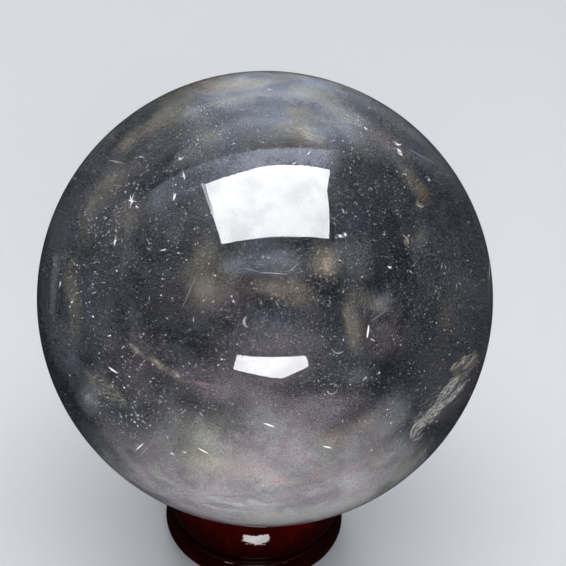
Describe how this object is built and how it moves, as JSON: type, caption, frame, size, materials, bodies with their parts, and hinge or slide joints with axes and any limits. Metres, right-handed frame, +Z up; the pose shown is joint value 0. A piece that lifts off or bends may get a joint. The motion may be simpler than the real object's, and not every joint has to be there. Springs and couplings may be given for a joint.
{
  "type": "crystal ball on stand",
  "caption": "Solid rock crystal ball with natural inclusions, resting loose in the dished seat of a small round turned wooden stand.",
  "frame": {"origin": "centre of the resting face under the stand, on the surface that it stands on", "axes": "+Z up, along the axis that the ball and the stand share; +X and +Y are free, because the shape is turned"},
  "size_m": [0.08, 0.08, 0.0953],
  "materials": {
    "quartz": "polished",
    "lacquered_wood": "gloss",
    "felt": "matte"
  },
  "bodies": {
    "stand": {"stand": "lacquered_wood", "felt_pad": "felt"},
    "ball": {"crystal_ball": "quartz"}
  },
  "joints": [
    {"name": "ball_lift", "type": "slide", "parent": "stand", "child": "ball", "axis": [0, 0, 1], "range_m": [0, 0.06]}
  ]
}
